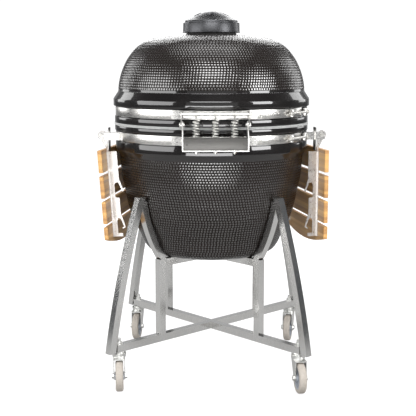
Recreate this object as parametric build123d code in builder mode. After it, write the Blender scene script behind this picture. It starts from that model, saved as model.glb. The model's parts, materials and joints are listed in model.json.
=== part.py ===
from build123d import *
from math import cos, radians, sin
import os

# A kamado: an egg-shaped ceramic charcoal grill on a wheeled steel stand.
# Millimetres. Z is up from the floor and the kettle's axis is Z. The lid's hinge and springs face -Y,
# the cook's side with handle, thermometer and draft door faces +Y.

# Ceramic shell
RING_R = 330  # flared ring at the lid's foot, the widest ceramic
LIP_R = 326  # lips that meet at the seam
COLLAR_R = 324  # smooth collar round the bowl's top
SEAT_R = 321  # bottom of the grooves that the bands lie in
MOUTH_R = 292  # inside of both mouths
SEAM_Z = 843
GASKET = 4  # thickness of each of the two felt rings
FELT_PROUD = 2
BOWL_Z = 402  # underside of the bowl
BOWL_FLOOR_Z = 432
BOWL_FOOT_R = 182
BOWL_SIDE = [(223, 426), (243, 466), (263, 508), (281, 556), (294, 618), (303, 662), (308, 705), (311, 738)]
BOWL_INSIDE = [(199, 450), (220, 484), (240, 528), (256, 572), (268, 625), (277, 665), (282, 705), (285, 740)]
COLLAR_Z = 757
DOME_TOP_Z = 1134
DOME_SIDE = [(314, 949), (309, 985), (297, 1024), (272, 1069), (234, 1105), (177, 1126)]
DOME_INSIDE = [(288, 949), (283, 982), (271, 1013), (248, 1049), (214, 1079), (165, 1098)]
DOME_CEILING_Z = 1107
CHIMNEY_R = 70
CHIMNEY_FLAT_R = 92
RING_FLARE_Z = 925

# Bands that clamp lid and bowl
BAND_H = 28
BAND_T = 2.5
UPPER_BAND_Z = 885
LOWER_BAND_Z = 804
BAND_GROOVE = 34
BAND_GAP_AT = -33  # degrees round from +X, where the clamp bolt pulls the ends together
BAND_GAP = 5  # half the gap, in degrees
LUG_SPAN = 4  # each end's lug, in degrees
LUG_OUT = 16
CLAMP_BOLT_R = 4

# Straps riveted over the bands
STRAP_T = 3
STRAP_R = SEAT_R + BAND_T
STRAP_H = 26

# Lid hinge
PIVOT_Y = -350
PIVOT_Z = 857
PIVOT_R = 4
PIVOT_LUG_R = 12
RUNNING = 0.08  # radial clearance of a pin in a moving bore
PLATE = 3.5
ARM_X = 99  # middle of the lower side plates
UPPER_ARM_X = ARM_X + PLATE + 0.4
TAB_SPAN = 24  # half the strap's length along the band, in degrees
SPRING_XS = (-58, 0, 58)
SPRING_Y = -380
SPRING_R = 11
SPRING_WIRE = 4
SPRING_Z = (804, 872)
BAR_Z = 891
BAR_R = 4
COVER_FACE_Y = -398
COVER_Z = (784, 820)
TOP_PLATE_Z = (896.5, 899)
TOP_LIP = 20  # how far the plate's folded lip hangs down
SHELF_Z = 780
SHELF_T = 3
SCREW_R = 3

# Handle and thermometer on the cook's side
GRIP_R = (372, 400)
GRIP_Z = (868, 902)
GRIP_SPAN = 25
HANDLE_ARM_AT = 18
GAUGE_AT = (0, 304, 1004)
GAUGE_TILT = 17
GAUGE_R = 38
GAUGE_STAND = 6  # the case stands this far off the lid
GAUGE_DEPTH = 18
GAUGE_BORE_R = 12

# Top vent
NECK_R = 69.8
FLUE_R = 62
VENT_RIM_R = 96
VENT_RIM_Z = (1142, 1174)
VENT_SHOULDER = (88, 1180)
VENT_CROWN_R = 31
TOP_Z = 1211
VENT_HOLES = 5
VENT_HOLE_AT = 50
VENT_HOLE_SIZE = (12.5, 15)  # half sizes, outwards and along the round

# Draft door
DRAFT_R = 270
DRAFT_Z = (440, 514)
DRAFT_SPAN = 28
DRAFT_SHEET = 3
WINDOW_SPAN = 9
WINDOW_Z = (452, 502)
DOOR_SPAN = 10.5
DOOR_R = (271, 273.5)
RAIL_R = 275.5

# Firebox and grates
FIRE_BOX = [(60, 432), (150, 432), (228, 664), (250, 676), (250, 690), (214, 690), (158, 520), (140, 520)]
FIRE_BOX_FLOOR_Z = 456
FIRE_RING_R = (240, 268)
FIRE_RING_Z = (690, 800)
COAL_GRATE_R = 155
COAL_GRATE_Z = 520
COAL_GRATE_T = 10
COAL_SLOT_PITCH = 24
COAL_SLOT_W = 14
GRATE_R = 268
GRATE_BAR = 8
GRATE_RODS = 23

# Stand
TUBE = 24
TUBE_WALL = 1.5
STAND_TURN = -3.7  # the kettle sits a little turned in its cradle
BAR_LOW_Z = 123
LEG_FOOT = (454, 122)  # outer face of a leg, from the axis
LEG_BOW = (400, 372)
LEG_TIP = (325, 616)
LEG_LEAN = 14.5  # mean lean of the leg, in degrees
POST_AT = 231
RAIL_DEPTH = 22
RAIL_INNER = [(216, 402), (268, 502), (295, 604)]

# Casters
STEM_AT = 408
STEM_R = 6
TRAIL = 28
WHEEL_R = 50
WHEEL_W = 26
HUB_R = 37
AXLE_R = 5
CHEEK_T = 3  # sheet of the fork's cheeks
CROWN_Z = (104, 107.5)
RACE_Z = (107.5, 113)
# each caster's corner, and the direction its wheel trails in, in degrees round from +X
CASTERS = {
    "front_left": (135, -99),
    "front_right": (45, -105),
    "back_right": (-45, -83),
    "back_left": (-135, -86),
}
CORNERS = {"front_right": 45, "front_left": 135, "back_left": -135, "back_right": -45}

# Side tables
TABLE_TURN = 10  # tables sit this far round towards the cook's side
TABLE_OUT = 343  # outer face of the hanging slats
TABLE_HALF = 232
SLAT_T = 14
SLAT_H = 73
SLAT_PITCH = 84
SLAT_TOP_Z = 762
SLATS = 4
TABLE_BOW = 32
HINGE_OUT = 340
HINGE_Z = 807
TABLE_ARM_AT = 160
TABLE_ARM_T = 3
TONGUE_R = 15
TABLES = {"right": (TABLE_TURN, 0), "left": (180 - TABLE_TURN, 4)}  # direction, and how far it hangs in
ARM_OUTLINE = [
    (296, 752), (296, 660), (283, 620), (288, 617), (299, 648), (309, 648), (313, 640), (313, 600),
    (299, 596), (299, 545), (286, 498), (297, 492), (297, 496), (291, 500), (300, 525), (309, 530),
    (313, 520), (313, 478), (297, 478), (297, 467), (329, 467), (329, 763), (353, 807), (325, 807),
    (324, 767), (324, 752),
]


def upright(angle, tilt=0, origin=(0, 0)):
    """A vertical plane at that angle round the axis: x outwards, y up, its normal clockwise."""
    a, t = radians(angle), radians(tilt)
    start = (origin[0] * cos(a), origin[0] * sin(a), origin[1])
    return Plane(origin=start, x_dir=(cos(a) * cos(t), sin(a) * cos(t), -sin(t)), z_dir=(sin(a), -cos(a), 0))


def polar(radius, angle, z=0):
    return Vector(radius * cos(radians(angle)), radius * sin(radians(angle)), z)


def box_sketch(low, high, mode=Mode.ADD):
    """A rectangle between two corners, in the current sketch."""
    with Locations(((low[0] + high[0]) / 2, (low[1] + high[1]) / 2)):
        Rectangle(high[0] - low[0], high[1] - low[1], mode=mode)


def block(low, high, mode=Mode.ADD):
    """A box between two corners, in the current part."""
    with Locations(tuple((a + b) / 2 for a, b in zip(low, high))):
        Box(*(b - a for a, b in zip(low, high)), mode=mode)


def sector(low, high, start, stop, mode=Mode.ADD):
    """A rectangle of radius and height turned about Z from one angle to another."""
    with BuildSketch(upright(start)) as profile:
        box_sketch(low, high)
    revolve(profile.sketch, axis=Axis.Z, revolution_arc=stop - start, mode=mode)


def outline(points, plane):
    with BuildSketch(plane) as shape:
        with BuildLine():
            Polyline(*points, close=True)
        make_face()
    return shape.sketch


def disc(plane, radius, low, high, mode=Mode.ADD):
    """A round bar on a plane's axis, between two heights above it."""
    with BuildSketch(plane.offset(low)) as shape:
        Circle(radius)
    extrude(shape.sketch, amount=high - low, mode=mode)


def hexagon(plane, radius, low, high):
    with BuildSketch(plane.offset(low)) as shape:
        RegularPolygon(radius, 6)
    extrude(shape.sketch, amount=high - low)


def save(part, name):
    part.label = name
    export_step(part, f"parts/{name}.step")


def save_group(parts, name):
    save(Compound(label=name, children=parts), name)


os.makedirs("parts", exist_ok=True)

# ---------------------------------------------------------------- ceramic shell
lip_z = SEAM_Z - GASKET
groove_low = LOWER_BAND_Z - BAND_GROOVE / 2
with BuildPart() as bowl:
    with BuildSketch(Plane.XZ):
        with BuildLine():
            foot = Line((0, BOWL_Z), (BOWL_FOOT_R, BOWL_Z))
            side = Spline(foot @ 1, *BOWL_SIDE, tangents=[(1, 0.15), (0.05, 1)])
            rim = Polyline(
                side @ 1,
                (COLLAR_R, COLLAR_Z),
                (COLLAR_R, groove_low),
                (SEAT_R, groove_low),
                (SEAT_R, groove_low + BAND_GROOVE),
                (LIP_R, groove_low + BAND_GROOVE),
                (LIP_R, lip_z),
                (MOUTH_R, lip_z),
                (MOUTH_R, COLLAR_Z),
                BOWL_INSIDE[-1],
            )
            floor_edge = (160, BOWL_FLOOR_Z)
            inside = Spline(rim @ 1, *BOWL_INSIDE[-2::-1], floor_edge, tangents=[(-0.05, -1), (-1, -0.15)])
            Polyline(inside @ 1, (0, BOWL_FLOOR_Z), (0, BOWL_Z))
        make_face()
    revolve(axis=Axis.Z)
    hole_span = WINDOW_SPAN + 0.7
    sector((200, WINDOW_Z[0] - 3), (300, WINDOW_Z[1] + 3), 90 - hole_span, 90 + hole_span, Mode.SUBTRACT)
save(bowl.part, "bowl")

dome_lip_z = SEAM_Z + GASKET
groove_high = UPPER_BAND_Z - BAND_GROOVE / 2
gauge_tilt = radians(GAUGE_TILT)
gauge = Plane(origin=GAUGE_AT, x_dir=(-1, 0, 0), z_dir=(0, cos(gauge_tilt), sin(gauge_tilt)))
with BuildPart() as dome:
    with BuildSketch(Plane.XZ):
        with BuildLine():
            skirt = Polyline(
                (MOUTH_R, dome_lip_z),
                (LIP_R, dome_lip_z),
                (LIP_R, groove_high),
                (SEAT_R, groove_high),
                (SEAT_R, groove_high + BAND_GROOVE),
                (RING_R, groove_high + BAND_GROOVE),
                (RING_R, RING_FLARE_Z),
                DOME_SIDE[0],
            )
            flat_edge = (CHIMNEY_FLAT_R, DOME_TOP_Z)
            crown = Spline(skirt @ 1, *DOME_SIDE[1:], flat_edge, tangents=[(-0.08, 1), (-1, 0)])
            throat = Polyline(
                crown @ 1,
                (CHIMNEY_R, DOME_TOP_Z),
                (CHIMNEY_R, DOME_CEILING_Z),
                (CHIMNEY_FLAT_R, DOME_CEILING_Z),
            )
            ceiling = Spline(throat @ 1, *DOME_INSIDE[::-1], tangents=[(1, 0), (0.08, -1)])
            Polyline(ceiling @ 1, (MOUTH_R, RING_FLARE_Z - 10), (MOUTH_R, dome_lip_z))
        make_face()
    revolve(axis=Axis.Z)
    disc(gauge, GAUGE_BORE_R, -60, 30, Mode.SUBTRACT)
save(dome.part, "dome")

for name, low, high in (("bowl_gasket", lip_z, SEAM_Z), ("dome_gasket", SEAM_Z + 0.3, dome_lip_z)):
    with BuildPart() as gasket:
        sector((MOUTH_R + 4, low), (LIP_R + FELT_PROUD, high), 0, 360)
    save(gasket.part, name)

# ---------------------------------------------------------------- clamp bands
def clamp_plane(middle_z):
    """A plane across the clamp bolt, which runs square to the radius at the gap."""
    middle = polar(STRAP_R + 5.5, BAND_GAP_AT, middle_z)
    return Plane(origin=middle, x_dir=(0, 0, 1), z_dir=polar(1, BAND_GAP_AT + 90))


def make_band(middle_z):
    """A strap in its groove, open at the clamp, with a lug folded out at each end."""
    gap_start, gap_stop = BAND_GAP_AT - BAND_GAP, BAND_GAP_AT + BAND_GAP
    with BuildPart() as band:
        sector((SEAT_R, middle_z - BAND_H / 2), (STRAP_R, middle_z + BAND_H / 2), gap_stop, gap_start + 360)
        for start in (gap_stop, gap_start - LUG_SPAN):
            sector((STRAP_R - 1, middle_z - 12), (STRAP_R + LUG_OUT, middle_z + 12), start, start + LUG_SPAN)
        disc(clamp_plane(middle_z), CLAMP_BOLT_R + 0.2, -80, 80, Mode.SUBTRACT)
    return band.part


def make_clamp_bolt(middle_z):
    """The bolt through both lugs, its hexagon head on one side and its nut on the other."""
    reach = STRAP_R * sin(radians(BAND_GAP + LUG_SPAN)) + 5
    plane = clamp_plane(middle_z)
    with BuildPart() as bolt:
        disc(plane, CLAMP_BOLT_R, -reach, reach)
        hexagon(plane, 7.5, -reach - 6, -reach)
        hexagon(plane, 7.5, reach, reach + 6)
    return bolt.part


for which, middle_z in (("upper", UPPER_BAND_Z), ("lower", LOWER_BAND_Z)):
    save(make_band(middle_z), f"{which}_band")
    save(make_clamp_bolt(middle_z), f"{which}_clamp_bolt")

# ---------------------------------------------------------------- lid hinge
back_y = -309.3  # the side plates end inside the strap here
lug_inner_y, lug_outer_y = PIVOT_Y + PIVOT_LUG_R, PIVOT_Y - PIVOT_LUG_R
lower_low = LOWER_BAND_Z - STRAP_H / 2
lower_side = [
    (back_y, lower_low), (back_y, lower_low + STRAP_H), (-328, 822), (lug_inner_y, PIVOT_Z),
    (lug_outer_y, PIVOT_Z), (COVER_FACE_Y, 818), (COVER_FACE_Y, SHELF_Z), (-325, SHELF_Z),
]
pivot_plane = Plane(origin=(0, PIVOT_Y, PIVOT_Z), x_dir=(0, 1, 0), z_dir=(1, 0, 0))
bore_r = PIVOT_R + RUNNING
with BuildPart() as hinge_bracket:
    sector((STRAP_R, lower_low), (STRAP_R + STRAP_T, lower_low + STRAP_H), -90 - TAB_SPAN, -90 + TAB_SPAN)
    for side in (-1, 1):
        extrude(outline(lower_side, Plane.YZ.offset(side * ARM_X)), amount=PLATE / 2, both=True)
        disc(pivot_plane, PIVOT_LUG_R, side * ARM_X - PLATE / 2, side * ARM_X + PLATE / 2)
    shelf_x = ARM_X - 1
    block((-shelf_x, COVER_FACE_Y + 2, SHELF_Z), (shelf_x, -328, SHELF_Z + SHELF_T))
    disc(pivot_plane, bore_r, -150, 150, Mode.SUBTRACT)
    for x in SPRING_XS:
        disc(Plane(origin=(x, SPRING_Y, 0)), SCREW_R + 0.2, 760, 790, Mode.SUBTRACT)
save(hinge_bracket.part, "hinge_bracket")

cover_x = ARM_X - PLATE / 2 - 0.5
with BuildPart() as hinge_cover:
    block((-cover_x, COVER_FACE_Y, COVER_Z[0]), (cover_x, COVER_FACE_Y + 2, COVER_Z[1]))
    for side in (-1, 1):
        inner, outer = sorted((side * (cover_x - 2), side * cover_x))
        block((inner, COVER_FACE_Y, COVER_Z[0]), (outer, COVER_FACE_Y + 14, COVER_Z[1] - 4))
save(hinge_cover.part, "hinge_cover")

pins = []
for side in (-1, 1):
    plane = Plane(origin=(0, PIVOT_Y, PIVOT_Z), x_dir=(0, 1, 0), z_dir=(side, 0, 0))
    with BuildPart() as pin:
        disc(plane, PIVOT_R, ARM_X - PLATE / 2, UPPER_ARM_X + PLATE / 2 + 0.4)
        disc(plane, PIVOT_R + 3, ARM_X - PLATE / 2 - 4, ARM_X - PLATE / 2)
        disc(plane, PIVOT_R + 3, UPPER_ARM_X + PLATE / 2 + 0.4, UPPER_ARM_X + PLATE / 2 + 4)
    pins.append(pin.part)
save_group(pins, "hinge_pins")

upper_low = UPPER_BAND_Z - STRAP_H / 2
upper_back_y = -308.3
plate_low, plate_high = TOP_PLATE_Z
lip_low_z = plate_high - TOP_LIP
upper_side = [
    (upper_back_y, upper_low), (upper_back_y, upper_low + STRAP_H), (-386, plate_high), (-386, lip_low_z),
    (lug_outer_y, PIVOT_Z), (lug_inner_y, PIVOT_Z), (-329, 872),
]
bar_plane = Plane(origin=(0, SPRING_Y, BAR_Z), x_dir=(0, 1, 0), z_dir=(1, 0, 0))
bridge_x = ARM_X - PLATE / 2 - 0.8
with BuildPart() as hinge_arms:
    sector((STRAP_R, upper_low), (STRAP_R + STRAP_T, upper_low + STRAP_H), -90 - TAB_SPAN, -90 + TAB_SPAN)
    for side in (-1, 1):
        extrude(outline(upper_side, Plane.YZ.offset(side * UPPER_ARM_X)), amount=PLATE / 2, both=True)
        disc(pivot_plane, PIVOT_LUG_R, side * UPPER_ARM_X - PLATE / 2, side * UPPER_ARM_X + PLATE / 2)
    block((-UPPER_ARM_X, -345, plate_low), (UPPER_ARM_X, -325, plate_high))
    block((-bridge_x, -371, plate_low), (bridge_x, -344, plate_high))
    block((-bridge_x, -371, lip_low_z), (bridge_x, -368, plate_high))
    disc(pivot_plane, bore_r, -150, 150, Mode.SUBTRACT)
    disc(bar_plane, BAR_R + 0.1, -150, 150, Mode.SUBTRACT)
save(hinge_arms.part, "hinge_arms")

bar_x = UPPER_ARM_X + PLATE / 2 + 3
with BuildPart() as spring_bar:
    disc(bar_plane, BAR_R, -bar_x, bar_x)
save(spring_bar.part, "spring_bar")

springs, screws = [], []
for x in SPRING_XS:
    plane = Plane(origin=(x, SPRING_Y, 0))
    spring_low, spring_high = SPRING_Z
    hollow_r = SPRING_R - SPRING_WIRE
    with BuildPart() as spring:
        disc(plane, SPRING_R, spring_low, spring_high)
        disc(plane, hollow_r, spring_low - 1, spring_high - SPRING_WIRE, Mode.SUBTRACT)
        disc(plane, SPRING_WIRE / 2, spring_high, BAR_Z - BAR_R - 0.3)
    springs.append(spring.part)
    with BuildPart() as screw:
        disc(plane, SCREW_R, SHELF_Z - 9, SPRING_Z[0] + 8)
        hexagon(plane, 5.5, SHELF_Z - 6, SHELF_Z)
    screws.append(screw.part)
save_group(springs, "springs")
save_group(screws, "spring_screws")

# ---------------------------------------------------------------- handle
grip_start, grip_stop = 90 - GRIP_SPAN, 90 + GRIP_SPAN
with BuildPart() as handle_grip:
    sector((GRIP_R[0], GRIP_Z[0]), (GRIP_R[1], GRIP_Z[1]), grip_start, grip_stop)
    fillet(handle_grip.edges(), 9)
save(handle_grip.part, "handle_grip")

arms = []
arm_low, arm_high = UPPER_BAND_Z - 11, UPPER_BAND_Z + 11
for angle in (90 - HANDLE_ARM_AT, 90 + HANDLE_ARM_AT):
    with BuildPart() as arm:
        sector((STRAP_R, arm_low), (STRAP_R + STRAP_T, arm_high), angle - 4, angle + 4)
        with BuildSketch(upright(angle)) as profile:
            box_sketch((STRAP_R + 1, arm_low), (GRIP_R[0] - 2, arm_high))
        extrude(profile.sketch, amount=3, both=True)
        sector((GRIP_R[0] - 3, GRIP_Z[0] + 9.5), (GRIP_R[0], GRIP_Z[1] - 9.5), angle - 2, angle + 2)
    arms.append(arm.part)
save_group(arms, "handle_arms")

# ---------------------------------------------------------------- thermometer
case_low, case_high = GAUGE_STAND, GAUGE_STAND + GAUGE_DEPTH
dial_z = GAUGE_STAND + 4
lens_z = case_high - 4
with BuildPart() as thermometer_case:
    disc(gauge, GAUGE_R, case_low, case_high)
    disc(gauge, GAUGE_BORE_R, -26, case_low)
    disc(gauge, 4, -90, -26)
    disc(gauge, GAUGE_R - 4, dial_z, case_high, Mode.SUBTRACT)
save(thermometer_case.part, "thermometer_case")

with BuildPart() as thermometer_dial:
    disc(gauge, GAUGE_R - 4.2, dial_z, dial_z + 1)
    disc(gauge, 2.08, dial_z, dial_z + 1, Mode.SUBTRACT)
save(thermometer_dial.part, "thermometer_dial")

with BuildPart() as thermometer_needle:
    disc(gauge, 2, dial_z + 0.2, dial_z + 2)
    disc(gauge, 4, dial_z + 2, dial_z + 3.5)
    needle = [(0, -3), (-26, -0.6), (-26, 0.6), (0, 3), (8, 1.5), (8, -1.5)]
    extrude(outline(needle, gauge.offset(dial_z + 2)), amount=1)
save(thermometer_needle.part, "thermometer_needle")

with BuildPart() as thermometer_lens:
    disc(gauge, GAUGE_R - 4.2, lens_z, lens_z + 2.5)
save(thermometer_lens.part, "thermometer_lens")

# ---------------------------------------------------------------- top vent
def vent_openings(low, high):
    with BuildSketch(Plane.XY.offset(low)) as holes:
        with PolarLocations(VENT_HOLE_AT, VENT_HOLES, start_angle=-90):
            Ellipse(*VENT_HOLE_SIZE)
    extrude(holes.sketch, amount=high - low, mode=Mode.SUBTRACT)


cone_foot_z, cone_top_z = 1167.5, 1202.5
vent_base_half = [
    (FLUE_R, 1108), (NECK_R, 1108), (NECK_R, DOME_TOP_Z), (84, DOME_TOP_Z), (84, 1140), (82, 1140),
    (82, cone_foot_z), (30, cone_top_z), (6, cone_top_z), (6, 1207.5), (0, 1207.5), (0, cone_top_z - 3.5),
    (29, cone_top_z - 3.5), (78, cone_foot_z - 2), (78, 1140), (FLUE_R, 1140),
]
with BuildPart() as vent_base:
    revolve(outline(vent_base_half, Plane.XZ), axis=Axis.Z)
    vent_openings(1150, 1220)
save(vent_base.part, "vent_base")

rim_inner_r = VENT_RIM_R - 3.5
rim_low, rim_high = VENT_RIM_Z
vent_cap_half = [
    (rim_inner_r, rim_low), (VENT_RIM_R, rim_low), (VENT_RIM_R, rim_high), VENT_SHOULDER,
    (VENT_CROWN_R, TOP_Z), (0, TOP_Z), (0, 1208), (6 + RUNNING, 1208), (6 + RUNNING, 1205), (29, 1205),
    (84, 1176), (rim_inner_r, 1171),
]
with BuildPart() as vent_cap:
    revolve(outline(vent_cap_half, Plane.XZ), axis=Axis.Z)
    vent_openings(1150, 1220)
save(vent_cap.part, "vent_cap")

# ---------------------------------------------------------------- draft door
start, stop = 90 - DRAFT_SPAN, 90 + DRAFT_SPAN
low_z, high_z = DRAFT_Z
with BuildPart() as draft_frame:
    sector((228, low_z), (DRAFT_R, high_z), start, stop)
    sheet = DRAFT_SHEET
    sector((200, low_z + sheet), (DRAFT_R - sheet, high_z - sheet), start + 0.7, stop - 0.7, Mode.SUBTRACT)
    with BuildSketch(Plane.XZ):
        with BuildLine():
            foot = Line((0, BOWL_Z), (BOWL_FOOT_R, BOWL_Z))
            side = Spline(foot @ 1, *BOWL_SIDE, tangents=[(1, 0.15), (0.05, 1)])
            Polyline(side @ 1, (0, BOWL_SIDE[-1][1]), (0, BOWL_Z))
        make_face()
    revolve(axis=Axis.Z, mode=Mode.SUBTRACT)
    duct_span = WINDOW_SPAN + 0.6
    window_low, window_high = WINDOW_Z
    sector((216, window_low - 2.9), (DRAFT_R, window_high + 2.9), 90 - duct_span, 90 + duct_span)
    window_start, window_stop = 90 - WINDOW_SPAN, 90 + WINDOW_SPAN
    sector((200, window_low), (DRAFT_R + 1, window_high), window_start, window_stop, Mode.SUBTRACT)
    for rail_z, lip_low in ((low_z, low_z + 5.6), (high_z - 5.6, high_z - 8)):
        sector((DRAFT_R - 1, rail_z), (RAIL_R, rail_z + 5.6), start, stop)
        sector((DOOR_R[1] + 0.5, lip_low), (RAIL_R, lip_low + 2.4), start, stop)
save(draft_frame.part, "draft_frame")

with BuildPart() as draft_door:
    sector((DOOR_R[0], low_z + 6), (DOOR_R[1], high_z - 6), 90 - DOOR_SPAN, 90 + DOOR_SPAN)
    knob_plane = Plane(origin=(0, 0, (low_z + high_z) / 2), x_dir=(1, 0, 0), z_dir=(0, 1, 0))
    disc(knob_plane, 4, DOOR_R[1] - 1, DOOR_R[1] + 8)
    disc(knob_plane, 9, DOOR_R[1] + 8, DOOR_R[1] + 18)
save(draft_door.part, "draft_door")

with BuildPart() as ember_screen:
    span = WINDOW_SPAN - 0.1
    sector((262, WINDOW_Z[0] + 0.2), (263.5, WINDOW_Z[1] - 0.2), 90 - span, 90 + span)
    for slot in range(6):
        slot_z = WINDOW_Z[0] + 4 + 7.5 * slot
        sector((260, slot_z), (265, slot_z + 4), 90 - span + 1, 90 + span - 1, Mode.SUBTRACT)
save(ember_screen.part, "ember_screen")

# ---------------------------------------------------------------- firebox and grates
with BuildPart() as fire_box:
    box_half = FIRE_BOX + [(128, FIRE_BOX_FLOOR_Z), (60, FIRE_BOX_FLOOR_Z)]
    revolve(outline(box_half, Plane.XZ), axis=Axis.Z)
    block((-45, 100, 440), (45, 260, 500), Mode.SUBTRACT)
save(fire_box.part, "fire_box")

with BuildPart() as fire_ring:
    sector((FIRE_RING_R[0], FIRE_RING_Z[0]), (FIRE_RING_R[1], FIRE_RING_Z[1]), 0, 360)
save(fire_ring.part, "fire_ring")

with BuildPart() as charcoal_grate:
    disc(Plane.XY, COAL_GRATE_R, COAL_GRATE_Z, COAL_GRATE_Z + COAL_GRATE_T)
    cut_low, cut_high = COAL_GRATE_Z - 1, COAL_GRATE_Z + COAL_GRATE_T + 1
    for slot in range(-5, 6):
        middle = COAL_SLOT_PITCH * slot
        left, right = middle - COAL_SLOT_W / 2, middle + COAL_SLOT_W / 2
        end = ((COAL_GRATE_R - 15) ** 2 - middle**2) ** 0.5
        block((left, 10, cut_low), (right, end, cut_high), Mode.SUBTRACT)
        block((left, -end, cut_low), (right, -10, cut_high), Mode.SUBTRACT)
save(charcoal_grate.part, "charcoal_grate")

grate_z = FIRE_RING_Z[1]
with BuildPart() as cooking_grate:
    sector((GRATE_R - GRATE_BAR, grate_z), (GRATE_R, grate_z + GRATE_BAR), 0, 360)
    for rod in range(GRATE_RODS):
        x = (rod - (GRATE_RODS - 1) / 2) * 2 * (GRATE_R - 20) / (GRATE_RODS - 1)
        reach = ((GRATE_R - GRATE_BAR / 2) ** 2 - x**2) ** 0.5
        block((x - 2.5, -reach, grate_z + 2), (x + 2.5, reach, grate_z + 7))
    for y in (-90, 90):
        reach = ((GRATE_R - GRATE_BAR / 2) ** 2 - y**2) ** 0.5
        block((-reach, y - 3, grate_z + 0.5), (reach, y + 3, grate_z + 3))
save(cooking_grate.part, "cooking_grate")

# ---------------------------------------------------------------- stand
def leg_profile(plane, inset=0, cap=0):
    """The bowed leg's side face, or its bore: two arcs, level at the foot and cap short of the tip."""
    width = TUBE / cos(radians(LEG_LEAN))
    outer = [(x - inset, z) for x, z in (LEG_FOOT, LEG_BOW, LEG_TIP)]
    inner = [(x - width + inset, z) for x, z in (LEG_FOOT, LEG_BOW, LEG_TIP)]
    with BuildSketch(plane) as face:
        with BuildLine():
            front = ThreePointArc(*outer)
            back = ThreePointArc(*inner)
            Line(front @ 1, back @ 1)
            Line(front @ 0, back @ 0)
        make_face()
        if cap:
            box_sketch((250, LEG_TIP[1] - cap), (500, LEG_TIP[1] + 1), Mode.SUBTRACT)
    return face.sketch


def tube_side(plane, low, high):
    """The side face of a straight square tube between two corners."""
    with BuildSketch(plane) as face:
        box_sketch(low, high)
    return face.sketch


half = TUBE / 2
bore_half = half - TUBE_WALL
rails, posts = [], []
for name, angle in CORNERS.items():
    plane = upright(angle + STAND_TURN)
    with BuildPart() as leg:
        extrude(leg_profile(plane), amount=half, both=True)
        extrude(leg_profile(plane, TUBE_WALL, TUBE_WALL), amount=bore_half, both=True, mode=Mode.SUBTRACT)
    save(leg.part, f"leg_{name}")

    with BuildPart() as rail:
        with BuildSketch(plane) as face:
            with BuildLine():
                inner = ThreePointArc(*RAIL_INNER)
                outer = ThreePointArc(*((x + RAIL_DEPTH, z) for x, z in RAIL_INNER))
                Line(inner @ 0, outer @ 0)
                Line(inner @ 1, outer @ 1)
            make_face()
            add(leg_profile(Plane.XY), mode=Mode.SUBTRACT)
        extrude(amount=half, both=True)
    rails.append(rail.part)

    post_low, post_high = (POST_AT - half, BAR_LOW_Z + TUBE), (POST_AT + half, BOWL_Z)
    with BuildPart() as post:
        extrude(tube_side(plane, post_low, post_high), amount=half, both=True)
        bore_low, bore_high = (POST_AT - bore_half, post_low[1]), (POST_AT + bore_half, post_high[1])
        extrude(tube_side(plane, bore_low, bore_high), amount=bore_half, both=True, mode=Mode.SUBTRACT)
    posts.append(post.part)
save_group(rails, "rails")
save_group(posts, "posts")


def cross_bar(angle, start, stop, bottom_z, stems=()):
    """A level tube from one distance to another along a diagonal, drilled for the caster stems."""
    plane = upright(angle + STAND_TURN)
    low, high = (start, bottom_z), (stop, bottom_z + TUBE)
    with BuildPart() as bar:
        extrude(tube_side(plane, low, high), amount=half, both=True)
        bore_low, bore_high = (start, bottom_z + TUBE_WALL), (stop, bottom_z + TUBE - TUBE_WALL)
        extrude(tube_side(plane, bore_low, bore_high), amount=bore_half, both=True, mode=Mode.SUBTRACT)
        for at in stems:
            stem = Plane(origin=polar(at, angle + STAND_TURN))
            disc(stem, STEM_R + 0.2, bottom_z - 1, bottom_z + TUBE + 1, Mode.SUBTRACT)
    return bar.part


low_reach = 422  # the lower bars end against the legs' inner faces
low_stems = {1: (STEM_AT,), 2: (STEM_AT, -STEM_AT)}
top_reach = POST_AT - half
save(cross_bar(45, -low_reach, low_reach, BAR_LOW_Z, low_stems[2]), "lower_bar_long")
save(cross_bar(45, -top_reach, top_reach, BOWL_Z - TUBE), "upper_bar_long")
low_halves = [cross_bar(angle, half, low_reach, BAR_LOW_Z, low_stems[1]) for angle in (135, -45)]
top_halves = [cross_bar(angle, half, top_reach, BOWL_Z - TUBE) for angle in (135, -45)]
save_group(low_halves, "lower_bar_halves")
save_group(top_halves, "upper_bar_halves")

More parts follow.
